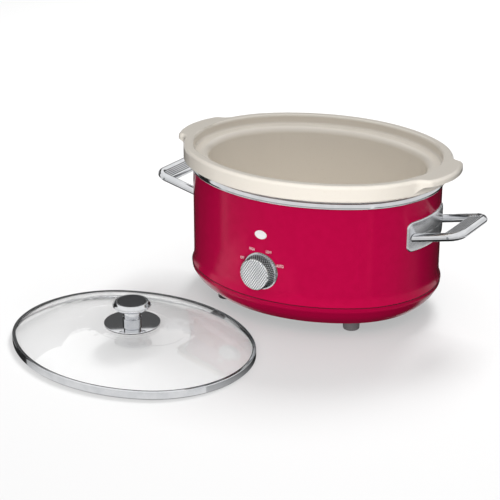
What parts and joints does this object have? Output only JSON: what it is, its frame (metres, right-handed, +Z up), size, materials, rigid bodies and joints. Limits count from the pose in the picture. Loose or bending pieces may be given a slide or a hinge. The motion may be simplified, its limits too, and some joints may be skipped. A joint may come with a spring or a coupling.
{
  "type": "slow cooker",
  "caption": "Oval slow cooker with a lift-out stoneware crock, a turning heat selector, bent side handles and a domed glass lid lying on the table beside it.",
  "frame": {"origin": "middle of the overall box of cooker and lid, on the table", "axes": "+Z up; the cooker's control side faces -Y; X runs along the cooker's length"},
  "size_m": [0.4424, 0.4746, 0.181],
  "materials": {
    "red_enamel": "gloss baked enamel over steel",
    "red_moulding": "gloss moulded, matched to the enamel",
    "chrome": "bright plated",
    "stoneware": "cream glaze",
    "dark_rubber": "moulded",
    "zinc_steel": "zinc plated sheet and fasteners",
    "spun_aluminium": "drawn sheet",
    "heater_steel": "aluminised band",
    "glass_wool": "needled blanket",
    "black_plastic": "moulded",
    "silicone": "moulded silicone",
    "wire_sleeve": "sleeved wire",
    "fuse_body": "fired",
    "lens_plastic": "translucent moulded",
    "lamp_glass": "neon lamp",
    "dark_inlay": "dark inlay",
    "clear_glass": "toughened, polished"
  },
  "bodies": {
    "base": {"outer_shell": "red_enamel", "trim_ring": "chrome", "base_skirt": "red_moulding", "bottom_plate": "zinc_steel", "plate_screws": "zinc_steel", "feet": "dark_rubber", "foot_screws": "zinc_steel", "inner_liner": "spun_aluminium", "tie_bolt": "zinc_steel", "tie_nut": "zinc_steel", "heater_band": "heater_steel", "band_bolt": "zinc_steel", "insulation_right": "glass_wool", "insulation_left": "glass_wool", "thermal_fuse": "fuse_body", "fuse_clip": "zinc_steel", "terminal_block": "black_plastic", "wiring": "wire_sleeve", "cord_gland": "black_plastic", "selector_switch": "black_plastic", "switch_nut": "zinc_steel", "knob_bezel": "chrome", "indicator_lens": "lens_plastic", "indicator_lamp": "lamp_glass", "handle_plate_right": "chrome", "handle_right": "chrome", "grip_right": "chrome", "handle_plate_left": "chrome", "handle_left": "chrome", "grip_left": "chrome", "grip_screws": "zinc_steel", "handle_screws": "zinc_steel"},
    "crock": {"crock": "stoneware"},
    "control_knob": {"control_knob": "chrome", "switch_shaft": "zinc_steel"},
    "lid": {"lid_glass": "clear_glass", "lid_rim": "chrome", "lid_gasket": "silicone", "lid_seal": "silicone", "lid_shield": "chrome", "lid_stem": "chrome", "lid_cap": "chrome", "cap_inlay": "dark_inlay", "lid_screw": "zinc_steel"}
  },
  "joints": [
    {"name": "knob_turn", "type": "hinge", "parent": "base", "child": "control_knob", "pos_m": [0.0207, -0.0134, 0.0711], "axis": [0, 1, 0], "range_deg": [0, 144]},
    {"name": "crock_lift", "type": "slide", "parent": "base", "child": "crock", "axis": [0, 0, 1], "range_m": [0, 0.2]},
    {"name": "lid_lift", "type": "slide", "parent": "base", "child": "lid", "axis": [0, -0.2588, 0.9659], "range_m": [0, 0.2]}
  ]
}
